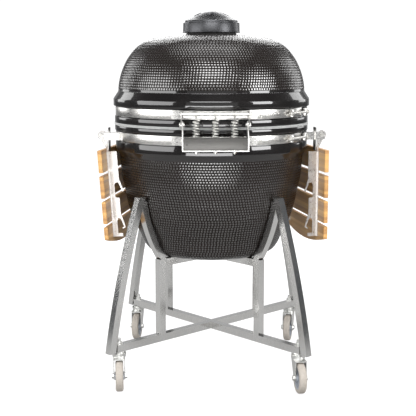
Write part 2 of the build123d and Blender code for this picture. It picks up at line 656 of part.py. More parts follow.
# ---------------------------------------------------------------- casters
bar_top_z = BAR_LOW_Z + TUBE
stems = []
for name, (corner, trail_at) in CASTERS.items():
    centre = polar(STEM_AT, corner + STAND_TURN)
    upright_stem = Plane(origin=centre)
    with BuildPart() as stem:
        disc(upright_stem, STEM_R, CROWN_Z[0], bar_top_z + 20)
        disc(upright_stem, 23, RACE_Z[1] + 0.4, 119)
        disc(upright_stem, 16, 119, BAR_LOW_Z)
        hexagon(upright_stem, 10.5, bar_top_z, bar_top_z + 9)
        disc(upright_stem, 12, bar_top_z, bar_top_z + 1.5)
    stems.append(stem.part)

    trail = polar(1, trail_at)
    side_plane = Plane(origin=centre, x_dir=trail, z_dir=(trail.Y, -trail.X, 0))
    axle = centre + trail * TRAIL + Vector(0, 0, WHEEL_R)
    axle_plane = Plane(origin=axle, x_dir=trail, z_dir=side_plane.z_dir)
    cheek = WHEEL_W / 2 + 3  # inner face of the fork's cheeks
    cheek_side = [(-18, CROWN_Z[1]), (40, CROWN_Z[1]), (TRAIL + 12, WHEEL_R), (TRAIL - 12, WHEEL_R)]
    with BuildPart() as fork:
        for low in (cheek, -cheek - CHEEK_T):
            extrude(outline(cheek_side, side_plane.offset(low)), amount=CHEEK_T)
            disc(axle_plane, 12, low, low + CHEEK_T)
        with BuildSketch(Plane(origin=centre + Vector(0, 0, CROWN_Z[0]), x_dir=trail)) as crown_plate:
            box_sketch((-22, -cheek - CHEEK_T), (40, cheek + CHEEK_T))
        extrude(crown_plate.sketch, amount=CROWN_Z[1] - CROWN_Z[0])
        disc(upright_stem, 22, *RACE_Z)
        disc(upright_stem, STEM_R + RUNNING, CROWN_Z[0] - 1, RACE_Z[1] + 1, Mode.SUBTRACT)
        disc(axle_plane, AXLE_R, -cheek - 7, cheek + 7)
        hexagon(axle_plane, 8.5, -cheek - 9, -cheek - 3)
        hexagon(axle_plane, 8.5, cheek + 3, cheek + 9)
    save(fork.part, f"caster_fork_{name}")

    with BuildPart() as hub:
        disc(axle_plane, HUB_R, 2 - WHEEL_W / 2, WHEEL_W / 2 - 2)
        disc(axle_plane, 13, 0.5 - cheek, cheek - 0.5)
        disc(axle_plane, AXLE_R + RUNNING, -cheek, cheek, Mode.SUBTRACT)
    save(hub.part, f"caster_hub_{name}")

    with BuildPart() as tyre:
        disc(axle_plane, WHEEL_R, -WHEEL_W / 2, WHEEL_W / 2)
        fillet(tyre.edges().filter_by(GeomType.CIRCLE), 5)
        disc(axle_plane, HUB_R, -WHEEL_W, WHEEL_W, Mode.SUBTRACT)
    save(tyre.part, f"caster_tyre_{name}")
save_group(stems, "caster_stems")

# ---------------------------------------------------------------- side tables
brackets, table_bolts = [], []
outer_x, inner_x = TABLE_OUT - HINGE_OUT, TABLE_OUT - HINGE_OUT - SLAT_T
arm_points = [(x - HINGE_OUT, z - HINGE_Z) for x, z in ARM_OUTLINE]
for table, (angle, hang) in TABLES.items():
    pivot = upright(angle, hang, (HINGE_OUT, HINGE_Z))
    face = Plane(origin=pivot.origin + pivot.x_dir * inner_x, x_dir=pivot.z_dir * -1, z_dir=pivot.x_dir)
    slats = []
    for slat in range(SLATS):
        top = SLAT_TOP_Z - HINGE_Z - slat * SLAT_PITCH
        rise = TABLE_BOW if slat == SLATS - 1 else 0
        with BuildPart() as board:
            with BuildSketch(face):
                with BuildLine():
                    left = Line((-TABLE_HALF, top), (-TABLE_HALF, top - SLAT_H + rise))
                    right = Line((TABLE_HALF, top), (TABLE_HALF, top - SLAT_H + rise))
                    Line(left @ 0, right @ 0)
                    if rise:
                        ThreePointArc(left @ 1, (0, top - SLAT_H), right @ 1)
                    else:
                        Line(left @ 1, right @ 1)
                make_face()
            extrude(amount=SLAT_T)
            chamfer(board.edges().filter_by(GeomType.LINE), 1.2)
        slats.append(board.part)
    save_group(slats, f"{table}_table_slats")

    table_arms = []
    for at in (-TABLE_ARM_AT, TABLE_ARM_AT):
        web = pivot.offset(-at)
        with BuildPart() as arm:
            extrude(outline(arm_points, web), amount=TABLE_ARM_T / 2, both=True)
            disc(web, TONGUE_R, -TABLE_ARM_T / 2, TABLE_ARM_T / 2)
            disc(web, PIVOT_R + RUNNING, -5, 5, Mode.SUBTRACT)
            with BuildSketch(face):
                box_sketch((at - 10, arm_points[19][1]), (at + 10, arm_points[0][1]))
            extrude(amount=-2)
        table_arms.append(arm.part)

        bolt_plane = upright(angle, 0, (HINGE_OUT, HINGE_Z)).offset(-at)
        ear = upright(angle).offset(-at)
        ear_low = LOWER_BAND_Z - 12
        with BuildPart() as bracket:
            towards = 1 if at > 0 else -1
            for centre_line, from_x in ((5.2, 279.9), (-5.2, 285.8)):
                with BuildSketch(ear.offset(-towards * centre_line)) as ear_side:
                    box_sketch((from_x, ear_low), (HINGE_OUT + 9, ear_low + 25))
                extrude(ear_side.sketch, amount=1.5, both=True)
            with BuildSketch(ear) as plate:
                box_sketch((315.5, 757), (317.5, 833))
            extrude(plate.sketch, amount=14, both=True)
            middle = angle + towards * 29.6
            sector((STRAP_R, ear_low), (STRAP_R + STRAP_T, ear_low + 24), middle - 3.5, middle + 3.5)
            disc(bolt_plane, PIVOT_R + RUNNING, -12, 12, Mode.SUBTRACT)
        brackets.append(bracket.part)

        with BuildPart() as table_bolt:
            disc(bolt_plane, PIVOT_R, -10, 10)
            hexagon(bolt_plane, 7, 6.7, 11)
            hexagon(bolt_plane, 7, -11, -6.7)
        table_bolts.append(table_bolt.part)
    save_group(table_arms, f"{table}_table_arms")
save_group(brackets, "table_brackets")
save_group(table_bolts, "table_bolts")
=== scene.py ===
import json
from math import cos, pi, radians, sin, tau

import bpy
import numpy as np
from mathutils import Matrix, Vector


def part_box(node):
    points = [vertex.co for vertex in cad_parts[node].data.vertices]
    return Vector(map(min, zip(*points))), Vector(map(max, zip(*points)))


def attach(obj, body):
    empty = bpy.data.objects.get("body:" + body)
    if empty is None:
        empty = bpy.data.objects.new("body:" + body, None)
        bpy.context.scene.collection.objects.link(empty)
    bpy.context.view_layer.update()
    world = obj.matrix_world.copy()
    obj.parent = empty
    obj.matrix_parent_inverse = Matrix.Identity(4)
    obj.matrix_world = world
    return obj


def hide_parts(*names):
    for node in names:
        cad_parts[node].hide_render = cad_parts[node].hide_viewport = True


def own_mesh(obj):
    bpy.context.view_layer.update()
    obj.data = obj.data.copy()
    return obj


# A kamado on its wheeled stand. Metres, +Z up, the hinge side faces -Y. The lathed ceramics, the bands,
# the springs, the vent cap, the tyres and the small hardware are modelled here; the rest is the CAD's own.

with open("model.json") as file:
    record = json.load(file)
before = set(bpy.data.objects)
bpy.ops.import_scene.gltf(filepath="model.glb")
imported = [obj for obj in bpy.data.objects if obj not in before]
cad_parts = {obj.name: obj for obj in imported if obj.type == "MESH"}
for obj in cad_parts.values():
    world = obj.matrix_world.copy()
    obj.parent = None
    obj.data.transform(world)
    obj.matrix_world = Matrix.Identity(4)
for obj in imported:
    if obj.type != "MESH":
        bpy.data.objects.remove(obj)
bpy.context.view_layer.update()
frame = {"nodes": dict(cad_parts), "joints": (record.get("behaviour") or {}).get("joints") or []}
nodes = frame["nodes"]
CORNERS = ("front_right", "front_left", "back_left", "back_right")

# Sizes that the CAD shares
STRAP_INNER, STRAP_R = 0.3212, 0.3235  # inner and outer radius of the bands
CLAMP_AT = -33  # degrees, where both bands are bolted together
PEBBLE = 0.0096  # pitch of the glaze's beads
ROW = 0.0088  # from one row of beads to the next
BEAD_R = 0.0063
BEAD_HEIGHT = 0.0023
STRIP = 0.0095  # one glued strip of bamboo


# ---------------------------------------------------------------- shader maths
class Value:
    """A socket that takes part in Python expressions by adding Math nodes."""

    def __init__(self, shader, socket):
        self.shader, self.socket = shader, socket

    def math(self, operation, other=0.0, flip=False):
        pair = (other, self) if flip else (self, other)
        return self.shader.node("ShaderNodeMath", {"operation": operation}, {0: pair[0], 1: pair[1]})

    def __add__(self, other):
        return self.math("ADD", other)

    def __mul__(self, other):
        return self.math("MULTIPLY", other)

    def __sub__(self, other):
        return self.math("SUBTRACT", other)

    def __rsub__(self, other):
        return self.math("SUBTRACT", other, flip=True)

    __radd__, __rmul__ = __add__, __mul__


class Shader:
    """A material with its Principled BSDF; node() adds any other node."""

    def __init__(self, name, color=(0.5, 0.5, 0.5), rough=0.5, metal=0.0, **fixed):
        self.material = bpy.data.materials.new(name)
        self.material.use_nodes = True
        self.tree = self.material.node_tree
        self.main = self.tree.nodes["Principled BSDF"]
        self.set("Base Color", (*color, 1))
        self.set("Roughness", rough)
        self.set("Metallic", metal)
        for socket, value in fixed.items():
            self.set(socket.replace("_", " "), value)

    def node(self, kind, settings=None, inputs=None, output=0):
        made = self.tree.nodes.new(kind)
        for key, value in (settings or {}).items():
            if key == "stops":
                for element, (at, color) in zip(made.color_ramp.elements, value):
                    element.position, element.color = at, (*color, 1)
            else:
                setattr(made, key, value)
        for key, value in (inputs or {}).items():
            if isinstance(value, Value):
                self.tree.links.new(value.socket, made.inputs[key])
            else:
                made.inputs[key].default_value = value
        return Value(self, made.outputs[output])

    def set(self, socket, value):
        if isinstance(value, Value):
            self.tree.links.new(value.socket, self.main.inputs[socket])
        else:
            self.main.inputs[socket].default_value = value

    def place(self, scale=(1, 1, 1), turn=0.0):
        """Object coordinates, turned about Z and then stretched."""
        here = self.node("ShaderNodeTexCoord", output="Object")
        turned = self.node("ShaderNodeMapping", {}, {"Vector": here, "Rotation": (0, 0, turn)})
        return self.node("ShaderNodeMapping", {}, {"Vector": turned, "Scale": scale})

    def noise(self, where, scale, detail=3.0, rough=0.5):
        inputs = {"Vector": where, "Scale": scale, "Detail": detail, "Roughness": rough}
        return self.node("ShaderNodeTexNoise", {}, inputs)

    def ramp(self, factor, low, high, start=0.0, stop=1.0):
        return self.node("ShaderNodeValToRGB", {"stops": ((start, low), (stop, high))}, {"Fac": factor})

    def spread(self, factor, low, high, start=0.0, stop=1.0):
        return self.node(
            "ShaderNodeMapRange", {},
            {"Value": factor, "From Min": start, "From Max": stop, "To Min": low, "To Max": high},
        )

    def bump(self, height, strength, distance=0.001):
        inputs = {"Height": height, "Strength": strength, "Distance": distance}
        self.set("Normal", self.node("ShaderNodeBump", {}, inputs))


def glaze():
    """Black-brown ceramic glaze drawn into round beads, its colour darker in the grooves between them as
    painted shade.
    """
    shader = Shader("black_glaze", rough=0.3, Specular_IOR_Level=0.1, Coat_Roughness=0.05, Coat_IOR=2.1)
    row = {name: shader.node("ShaderNodeAttribute", {"attribute_name": name}, output="Fac")
           for name in ("along", "row_middle", "row_count", "row_phase", "beaded")}
    here = shader.place()
    x, y = (shader.node("ShaderNodeSeparateXYZ", {}, {"Vector": here}, axis) for axis in (0, 1))
    radius = (x * x + y * y).math("SQRT")
    turns = (y.math("ARCTAN2", x) - row["row_phase"]) * row["row_count"] * (1 / tau)
    stray = shader.noise(here, 45.0, 1.0) - 0.5
    sideways = ((turns + 0.5).math("FRACT") - 0.5) * radius * tau
    sideways = sideways.math("DIVIDE", row["row_count"].math("MAXIMUM", 1.0)) + stray * 0.0045
    lengthways = row["along"] - row["row_middle"] + stray * 0.0022
    away = (sideways * sideways + lengthways * lengthways) * BEAD_R**-2
    crown = (1 - away).math("MAXIMUM", 0.5) * row["beaded"]
    cloud = shader.noise(here, 7.0)
    fine = shader.noise(here, 420.0, 2.0)
    # Colour: painted shade darkens the grooves between the beads, and soft clouds of tone vary it at random.
    groove_shade_and_cloud = crown * 0.7 + cloud * 0.3
    shader.set("Base Color", shader.ramp(groove_shade_and_cloud, (0.0035, 0.003, 0.003), (0.016, 0.012, 0.01)))
    shader.set("Roughness", shader.spread(cloud, 0.25, 0.4, 0.3, 0.7))
    glossy = shader.spread(crown, 0.0, 1.0, 0.62, 0.86)
    shader.set("Coat Weight", glossy * row["beaded"] + (1 - row["beaded"]) * 0.5)
    shader.bump(crown * BEAD_HEIGHT * 1000 + fine * 0.02, 1.0, 0.001)
    return shader.material


def steel(name, color, rough, streak, depth=0.05):
    """Stainless steel whose fine scratches run along one direction."""
    shader = Shader(name, metal=1.0)
    scratch = shader.noise(shader.place(streak), 60.0, 4.0, 0.65)
    cloud = shader.noise(shader.place(), 5.0)
    darker = tuple(channel * 0.82 for channel in color)
    shader.set("Base Color", shader.ramp(scratch * 0.6 + cloud * 0.4, darker, color, 0.3, 0.65))
    shader.set("Roughness", shader.spread(scratch, rough * 0.7, rough * 1.35, 0.3, 0.7) + cloud * 0.04)
    shader.bump(scratch, depth, 0.0003)
    return shader.material


def bamboo(name, turn, light, dark):
    """Pressed bamboo: narrow glued strips with long fibres and dark nodes, running along X once turned."""
    shader = Shader(name, rough=0.5, Coat_Weight=0.15, Coat_Roughness=0.3)
    fibre = shader.noise(shader.place((2.5, 160, 160), turn), 3.0, 5.0, 0.6)
    across = shader.node("ShaderNodeSeparateXYZ", {}, {"Vector": shader.place((1, 1, 1 / STRIP), turn)}, 2)
    strip = shader.node("ShaderNodeTexWhiteNoise", {"noise_dimensions": "1D"}, {"W": across.math("FLOOR")})
    knot = shader.node("ShaderNodeTexVoronoi", {}, {"Vector": shader.place((5, 60, 60), turn), "Scale": 1.0})
    tone = fibre * 0.5 + strip * 0.5
    grain = shader.ramp(tone, dark, light, 0.2, 0.8)
    worn = shader.node(
        "ShaderNodeMix", {"data_type": "RGBA", "blend_type": "MULTIPLY"},
        {0: shader.spread(knot, 0.5, 0.0, 0.0, 0.12), 6: grain, 7: (0.45, 0.3, 0.2, 1)}, 2,
    )
    shader.set("Base Color", worn)
    shader.set("Roughness", shader.spread(fibre, 0.38, 0.62, 0.3, 0.7))
    shader.bump(fibre * 0.8 + strip * 0.2, 0.25, 0.0006)
    return shader.material


def mottled(name, color, rough, scale, depth, spot=0.75, metal=0.0, **fixed):
    """A cast, felted or moulded surface: soft clouds of tone and a fine grain."""
    shader = Shader(name, metal=metal, **fixed)
    grain = shader.noise(shader.place(), scale, 4.0, 0.6)
    cloud = shader.noise(shader.place(), scale / 14, 2.0)
    darker = tuple(channel * spot for channel in color)
    shader.set("Base Color", shader.ramp(grain * 0.5 + cloud * 0.5, darker, color, 0.35, 0.65))
    shader.set("Roughness", shader.spread(grain, rough * 0.85, min(1, rough * 1.15), 0.3, 0.7))
    shader.bump(grain, depth, 0.0008)
    return shader.material


def plain_lens():
    """Clear glass with a little wear in its polish."""
    shader = Shader("lens_glass", (0.97, 0.98, 0.98), 0.02, Transmission_Weight=1.0, IOR=1.45)
    shader.set("Roughness", shader.spread(shader.noise(shader.place(), 30.0), 0.01, 0.05))
    return shader.material


GLAZE = glaze()
FELT = mottled("felt", (0.4, 0.405, 0.4), 0.95, 900.0, 0.5, 0.7, Sheen_Weight=0.4)
BAND_STEEL = steel("band_steel", (0.7, 0.685, 0.66), 0.26, (0.6, 0.6, 26), depth=0.03)
STAND_STEEL = steel("stand_steel", (0.74, 0.735, 0.72), 0.15, (6, 6, 0.8), depth=0.04)
PLATE_STEEL = steel("plate_steel", (0.66, 0.65, 0.63), 0.26, (1, 5, 16), depth=0.06)
ARM_STEEL = steel("arm_steel", (0.62, 0.6, 0.58), 0.3, (5, 5, 2), depth=0.06)
DARK_STEEL = steel("dark_steel", (0.075, 0.076, 0.08), 0.38, (1.2, 1.2, 30), depth=0.12)
COVER_STEEL = steel("cover_steel", (0.12, 0.117, 0.112), 0.36, (1.0, 4, 30), depth=0.1)
# The vent's base is coloured near-black as painted shade, for the dark inside seen through the cap's
# openings.
VENT_SHADE = mottled("vent_painted_shade", (0.02, 0.019, 0.018), 0.8, 300.0, 0.4)
WIRE = steel("spring_wire", (0.62, 0.61, 0.58), 0.32, (4, 4, 4), depth=0.04)
ZINC = steel("zinc", (0.72, 0.72, 0.7), 0.3, (5, 5, 5), depth=0.1)
CLAY = mottled("fired_clay", (0.62, 0.5, 0.38), 0.9, 240.0, 0.5)
IRON = mottled("cast_iron", (0.07, 0.068, 0.065), 0.6, 320.0, 0.6, metal=0.6)
TREAD = mottled("tyre_tread", (0.44, 0.4, 0.355), 0.7, 260.0, 0.35, 0.75)
HUB = mottled("hub_plastic", (0.3, 0.32, 0.355), 0.45, 200.0, 0.15, 0.85)
ENAMEL = mottled("dial_enamel", (0.9, 0.89, 0.85), 0.35, 120.0, 0.05, 0.96)
INK = mottled("dial_ink", (0.03, 0.03, 0.035), 0.5, 200.0, 0.05)
RED = mottled("needle_red", (0.62, 0.04, 0.025), 0.35, 300.0, 0.05)
LENS = plain_lens()
GRIP_BAMBOO = bamboo("grip_bamboo", 0.0, (0.68, 0.42, 0.17), (0.42, 0.22, 0.08))
SLAT_BAMBOO = {
    "right": bamboo("right_bamboo", -radians(100), (0.66, 0.385, 0.13), (0.34, 0.165, 0.055)),
    "left": bamboo("left_bamboo", -radians(80), (0.66, 0.385, 0.13), (0.34, 0.165, 0.055)),
}


# ---------------------------------------------------------------- modelling
def start(add, **settings):
    """A new primitive, selected alone, with its edit mode open."""
    bpy.ops.object.select_all(action="DESELECT")
    add(**settings)
    bpy.ops.object.mode_set(mode="EDIT")
    bpy.ops.mesh.select_mode(type="VERT")
    return bpy.context.object


def finish_piece(piece, name, body, material, smooth=35.0):
    """Leaves edit mode, puts the object at the origin and rides it on its body."""
    if bpy.context.mode != "OBJECT":
        bpy.ops.object.mode_set(mode="OBJECT")
    piece.name = piece.data.name = name
    bpy.ops.object.transform_apply(location=True, rotation=True, scale=True)
    bpy.ops.object.shade_smooth_by_angle(angle=radians(smooth))
    piece.data.materials.clear()
    piece.data.materials.append(material)
    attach(piece, body)
    return piece


def pick(piece):
    """Selects the piece alone and makes it the active one."""
    bpy.ops.object.select_all(action="DESELECT")
    piece.select_set(True)
    bpy.context.view_layer.objects.active = piece


def close():
    """Leaves edit mode and puts the piece's place into its mesh."""
    bpy.ops.object.mode_set(mode="OBJECT")
    bpy.ops.object.transform_apply(location=True, rotation=True, scale=True)


def ease(offset, segments):
    """Rounds every edge of the open primitive."""
    bpy.ops.mesh.select_all(action="SELECT")
    bpy.ops.mesh.bevel(offset=offset, segments=segments, affect="EDGES")


def cut(piece, cutter):
    """Takes the cutter's space out of the piece and removes the cutter."""
    pick(piece)
    modify(piece, "BOOLEAN", operation="DIFFERENCE", solver="EXACT", object=cutter)
    bpy.data.objects.remove(cutter)


def modify(piece, kind, **settings):
    """Adds a modifier with its settings and applies it."""
    modifier = piece.modifiers.new(kind.title(), kind)
    for key, value in settings.items():
        setattr(modifier, key, value)
    bpy.ops.object.modifier_apply(modifier=modifier.name)


def lathe(profile, steps, closed=True, start_angle=0.0, turn=tau):
    """A (radius, height) outline, drawn as extruded points, spun about Z. The outline runs anticlockwise."""
    piece = start(bpy.ops.mesh.primitive_plane_add, size=0.01, location=(0, 0, 0))
    bpy.ops.mesh.merge(type="CENTER")
    points = [Vector((r * cos(start_angle), r * sin(start_angle), z)) for r, z in profile]
    bpy.ops.transform.translate(value=points[0])
    loop = points[1:] + points[:1] if closed else points[1:]
    for before, after in zip(points, loop):
        bpy.ops.mesh.extrude_vertices_move(TRANSFORM_OT_translate={"value": after - before})
    bpy.ops.mesh.select_all(action="SELECT")
    bpy.ops.mesh.remove_doubles(threshold=1e-6)
    if turn < tau:
        bpy.ops.mesh.edge_face_add()
        bpy.ops.mesh.spin(steps=steps, angle=turn, center=(0, 0, 0), axis=(0, 0, 1))
    else:
        bpy.ops.object.mode_set(mode="OBJECT")
        modify(
            piece, "SCREW", angle=tau, steps=steps, render_steps=steps,
            use_merge_vertices=True, merge_threshold=1e-5,
        )
        bpy.ops.object.mode_set(mode="EDIT")
    bpy.ops.mesh.select_all(action="SELECT")
    bpy.ops.mesh.normals_make_consistent(inside=False)
    return piece


def lengths(line):
    """How far along the outline each of its points lies."""
    return np.concatenate([[0], np.cumsum(np.hypot(*np.diff(np.array(line), axis=0).T))])


def resample(points, spacing, multiple=1):
    """Points at even steps along a smooth line through the given ones, in a whole number of multiples."""
    curve = bpy.data.curves.new("outline", "CURVE")
    curve.dimensions = "3D"
    spline = curve.splines.new("BEZIER")
    spline.bezier_points.add(len(points) - 1)
    for knot, (r, z) in zip(spline.bezier_points, points):
        knot.co = (r, 0, z)
        knot.handle_left_type = knot.handle_right_type = "AUTO"
    curve.resolution_u = 24
    holder = bpy.data.objects.new("outline", curve)
    mesh = bpy.data.meshes.new_from_object(holder)
    line = np.array([(v.co.x, v.co.z) for v in mesh.vertices])
    bpy.data.objects.remove(holder)
    bpy.data.curves.remove(curve)
    bpy.data.meshes.remove(mesh)
    along = lengths(line)
    count = max(1, round(along[-1] / (spacing * multiple))) * multiple
    at = np.linspace(0, along[-1], count + 1)
    return [(float(np.interp(s, along, line[:, 0])), float(np.interp(s, along, line[:, 1]))) for s in at]


def rounded(profile, radius, segments=2):
    """The closed outline with each corner cut round by up to radius."""
    out = []
    count = len(profile)
    for i, corner in enumerate(profile):
        here, before, after = (Vector(profile[k % count]) for k in (i, i - 1, i + 1))
        reach = min(radius, (before - here).length * 0.45, (after - here).length * 0.45)
        first = here + (before - here).normalized() * reach
        last = here + (after - here).normalized() * reach
        for k in range(segments + 1):
            t = k / segments
            point = first * (1 - t) ** 2 + here * 2 * t * (1 - t) + last * t**2
            out.append(tuple(point))
    return out


def bead(piece, side, low_z, high_z):
    """Raises rows of beads on the skin that follows side, and tells the glaze where each row's beads lie."""
    mesh = piece.data
    at = np.empty(len(mesh.vertices) * 3)
    mesh.vertices.foreach_get("co", at)
    at = at.reshape(-1, 3)
    line, travel = np.array(side), lengths(side)
    radius, angle = np.hypot(at[:, 0], at[:, 1]), np.arctan2(at[:, 1], at[:, 0])
    rings, member = np.unique(np.round(np.stack([radius, at[:, 2]], 1), 4), axis=0, return_inverse=True)
    apart = np.hypot(*(rings[:, None] - line[None]).transpose(2, 0, 1))
    near = apart.argmin(1)[member.ravel()]
    on_side = apart.min(1)[member.ravel()] < 0.0004
    rows = (len(side) - 1) // ROW_RINGS
    step = travel[-1] / rows
    middle = (np.arange(rows) + 0.5) * step
    count = np.round(tau * np.interp(middle, travel, line[:, 0]) / PEBBLE)
    phase = np.cumsum(np.random.default_rng(7).uniform(0.35, 0.65, rows)) * tau / count
    ends = np.interp(np.arange(rows + 1) * step, travel, line[:, 1])
    beaded = (ends[:-1] >= low_z) & (ends[1:] <= high_z)

    row = np.clip(near // ROW_RINGS, 0, rows - 1)
    turns = (angle - phase[row]) * count[row] / tau
    sideways = (turns - np.round(turns)) * tau / count[row] * radius
    lift = np.clip(1 - (sideways**2 + (travel[near] - middle[row]) ** 2) / BEAD_R**2, 0.5, 1) - 0.5
    lift *= beaded[row] & on_side
    rise = np.gradient(line, axis=0)[near]
    rise /= np.hypot(*rise.T)[:, None]
    normal = np.stack([rise[:, 1] * np.cos(angle), rise[:, 1] * np.sin(angle), -rise[:, 0]], 1)
    mesh.vertices.foreach_set("co", (at + normal * (lift * BEAD_HEIGHT * 0.6)[:, None]).ravel())

    corners = np.empty(len(mesh.loops), int)
    mesh.loops.foreach_get("vertex_index", corners)
    starts = np.empty(len(mesh.polygons), int)
    mesh.polygons.foreach_get("loop_start", starts)
    lowest = np.minimum.reduceat(np.where(on_side, near, len(side))[corners], starts)
    whole = np.minimum.reduceat(on_side[corners].astype(int), starts) > 0
    face_row = np.clip(lowest // ROW_RINGS, 0, rows - 1)
    for name, domain, values in (
        ("along", "POINT", travel[near]),
        ("row_middle", "FACE", middle[face_row]),
        ("row_count", "FACE", count[face_row]),
        ("row_phase", "FACE", phase[face_row]),
        ("beaded", "FACE", (beaded[face_row] & whole).astype(float)),
    ):
        mesh.attributes.new(name, "FLOAT", domain).data.foreach_set("value", values)
    mesh.update()


def shell(side, inside, parts, below, above, low_z, high_z):
    """A lathed wall in stacked rings: side and inside rise together, below and above close the ends."""
    rows = (len(side) - 1) // ROW_RINGS
    cuts = [round(rows * k / parts) * ROW_RINGS for k in range(parts + 1)]
    inner = np.array(inside)
    pieces = []
    for k, (first, last) in enumerate(zip(cuts, cuts[1:])):
        low, high = side[first][1], side[last][1]
        back = [point for point in reversed(inside) if low < point[1] < high]
        ends = [(float(np.interp(z, inner[:, 1], inner[:, 0])), z) for z in (high, low)]
        top = above if k == parts - 1 else ends[:1]
        bottom = below if k == 0 else ends[1:]
        closed = bottom[0][0] > 0
        profile = side[first:last + 1] + top + back + bottom if closed else None
        if not closed:
            split = bottom.index(next(point for point in bottom if point[0] == 0)) + 1
            profile = bottom[split:] + side[first:last + 1] + top + back + bottom[:split]
        piece = lathe(profile, SHELL_STEPS, closed=closed)
        bpy.ops.object.mode_set(mode="OBJECT")
        bead(piece, side, low_z, high_z)
        pieces.append(piece)
    return pieces


def tube(name, points, radius, body, material):
    """A round wire along a smooth line."""
    curve = bpy.data.curves.new(name, "CURVE")
    curve.dimensions = "3D"
    spline = curve.splines.new("POLY")
    spline.points.add(len(points) - 1)
    for knot, point in zip(spline.points, points):
        knot.co = (*point, 1)
    curve.bevel_depth, curve.bevel_resolution, curve.use_fill_caps = radius, 3, True
    piece = bpy.data.objects.new(name, curve)
    bpy.context.collection.objects.link(piece)
    pick(piece)
    bpy.ops.object.convert(target="MESH")
    return finish_piece(bpy.context.object, name, body, material)


def join(pieces, name):
    """One mesh from several finished pieces."""
    bpy.ops.object.select_all(action="DESELECT")
    for piece in pieces:
        piece.select_set(True)
    bpy.context.view_layer.objects.active = pieces[0]
    bpy.ops.object.join()
    pieces[0].name = pieces[0].data.name = name
    return pieces[0]


def rivet(at, direction, radius, height):
    """A domed rivet head standing on a face."""
    ball = bpy.ops.mesh.primitive_uv_sphere_add
    piece = start(ball, segments=20, ring_count=12, radius=radius, location=(0, 0, 0))
    bpy.ops.mesh.select_all(action="SELECT")
    bpy.ops.mesh.bisect(plane_co=(0, 0, 0), plane_no=(0, 0, 1), use_fill=True, clear_inner=True)
    bpy.ops.object.mode_set(mode="OBJECT")
    turn = Vector(direction).to_track_quat("Z", "Y").to_matrix().to_4x4()
    piece.data.transform(Matrix.Translation(at) @ turn @ Matrix.Diagonal((1, 1, height / radius, 1)))
    return piece


def around(radius, degrees, z=0.0):
    """The point at a radius and a bearing round the kettle's axis."""
    return Vector((radius * cos(radians(degrees)), radius * sin(radians(degrees)), z))


# ---------------------------------------------------------------- ceramic shells
BOWL_SIDE = [
    (0.182, 0.402), (0.204, 0.409), (0.223, 0.426), (0.243, 0.466), (0.263, 0.508), (0.281, 0.556),
    (0.294, 0.618), (0.303, 0.662), (0.308, 0.705), (0.311, 0.738),
]
DOME_SIDE = [
    (0.314, 0.949), (0.309, 0.985), (0.297, 1.024), (0.272, 1.069), (0.234, 1.105), (0.177, 1.126),
    (0.092, 1.134),
]
BOWL_INSIDE = [(0.285, 0.74), (0.277, 0.665), (0.256, 0.572), (0.22, 0.484), (0.199, 0.45), (0.16, 0.432)]
DOME_INSIDE = [
    (0.092, 1.107), (0.165, 1.098), (0.214, 1.079), (0.248, 1.049), (0.271, 1.013), (0.283, 0.982),
    (0.288, 0.949),
]
SHELL_STEPS, ROW_RINGS = ((1000, 5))


def bowl():
    """The bowl in four stacked rings: beaded wall and smooth collar, with the draft window cut through."""
    side = resample(BOWL_SIDE, ROW / ROW_RINGS, ROW_RINGS)
    collar = rounded(
        [side[-1], (0.324, 0.7575), (0.324, 0.787), (0.321, 0.787), (0.321, 0.821), (0.326, 0.821),
         (0.326, 0.839), (0.292, 0.839), (0.292, 0.757), BOWL_INSIDE[0]], 0.0022,
    )
    inside = resample(BOWL_INSIDE[::-1], 0.02)
    base = [(0.0, 0.432), (0.0, 0.402), (0.12, 0.402)]
    rings = shell(side, inside, 4, base, collar[3:-3], 0.4135, 0.742)
    window_hole(rings[0])
    for name, ring in zip(("bowl_foot", "bowl_belly", "bowl_wall", "bowl_collar"), rings):
        finish_piece(ring, name, "kettle", GLAZE, 60)
        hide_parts("bowl")


def window_hole(piece):
    """Cuts the draft opening through the bowl's wall."""
    low, high, half = 0.449, 0.505, 0.0435
    cutter = start(bpy.ops.mesh.primitive_cube_add, size=1, location=(0, 0.235, (low + high) / 2))
    bpy.ops.object.mode_set(mode="OBJECT")
    cutter.scale = (2 * half, 0.15, high - low)
    close()
    cut(piece, cutter)


def dome():
    """The lid's ceramic in four stacked rings, with its stepped skirt below and the chimney's neck above."""
    side = resample(DOME_SIDE, ROW / ROW_RINGS, ROW_RINGS)
    inside = resample(DOME_INSIDE[::-1], 0.02)
    skirt = rounded(
        [(0.292, 0.915), (0.292, 0.847), (0.326, 0.847), (0.326, 0.868), (0.321, 0.868), (0.321, 0.902),
         (0.330, 0.902), (0.330, 0.925), side[0], side[1]], 0.0022,
    )
    neck = [(0.0715, 1.134), (0.07, 1.1325), (0.07, 1.107)]
    rings = shell(side, inside, 4, skirt[3:-3], neck, 0.951, 1.1335)
    for name, ring in zip(("dome_skirt", "dome_wall", "dome_shoulder", "dome_crown"), rings):
        finish_piece(ring, name, "lid", GLAZE, 60)
        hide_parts("dome")


def gaskets():
    """Two felt rings with rounded edges, which meet at the seam."""
    felts = (("bowl_gasket", 0.8392, 0.8428, "kettle"), ("dome_gasket", 0.8433, 0.8468, "lid"))
    for name, low, high, body in felts:
        ring = rounded([(0.296, low), (0.3278, low), (0.3278, high), (0.296, high)], 0.0012)
        piece = lathe(ring, 256)
        finish_piece(piece, name + "_felt", body, FELT)
        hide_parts(name)


